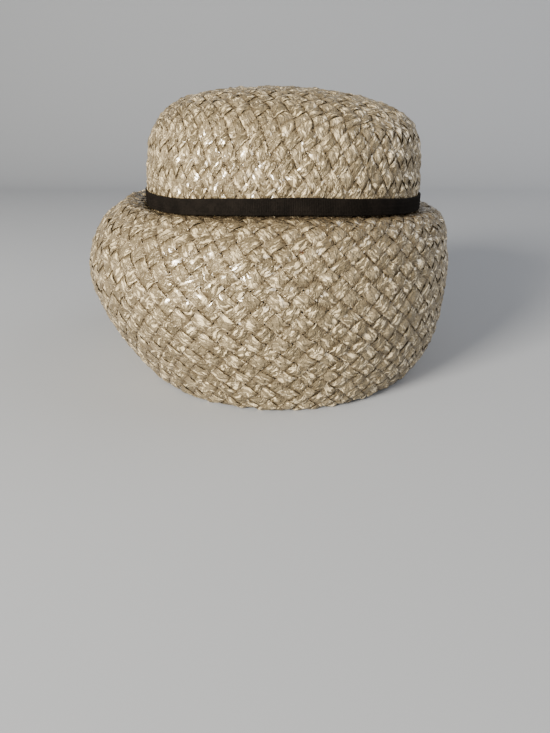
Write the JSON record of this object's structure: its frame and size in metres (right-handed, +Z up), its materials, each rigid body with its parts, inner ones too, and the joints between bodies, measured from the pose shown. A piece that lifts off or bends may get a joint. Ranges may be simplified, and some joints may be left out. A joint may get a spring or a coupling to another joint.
{
  "type": "woven straw bubble hat",
  "caption": "Woven straw hat with a domed crown, a bell-shaped brim that swells and turns under at the rim, and a narrow dark ribbon in the crease between them.",
  "frame": {"origin": "middle of the hat's outline, on the surface that its rim rests on", "axes": "+Z up through the crown, -Y towards the front of the hat, +X to the right of someone who faces the front"},
  "size_m": [0.2191, 0.236, 0.156],
  "materials": {
    "crown_straw": "woven flat straw with a soft gloss",
    "brim_straw": "woven flat straw with a soft gloss",
    "ribbon": "matte ribbed ribbon"
  },
  "bodies": {
    "root": {"crown": "crown_straw", "brim": "brim_straw", "ribbon_band": "ribbon"}
  },
  "joints": []
}
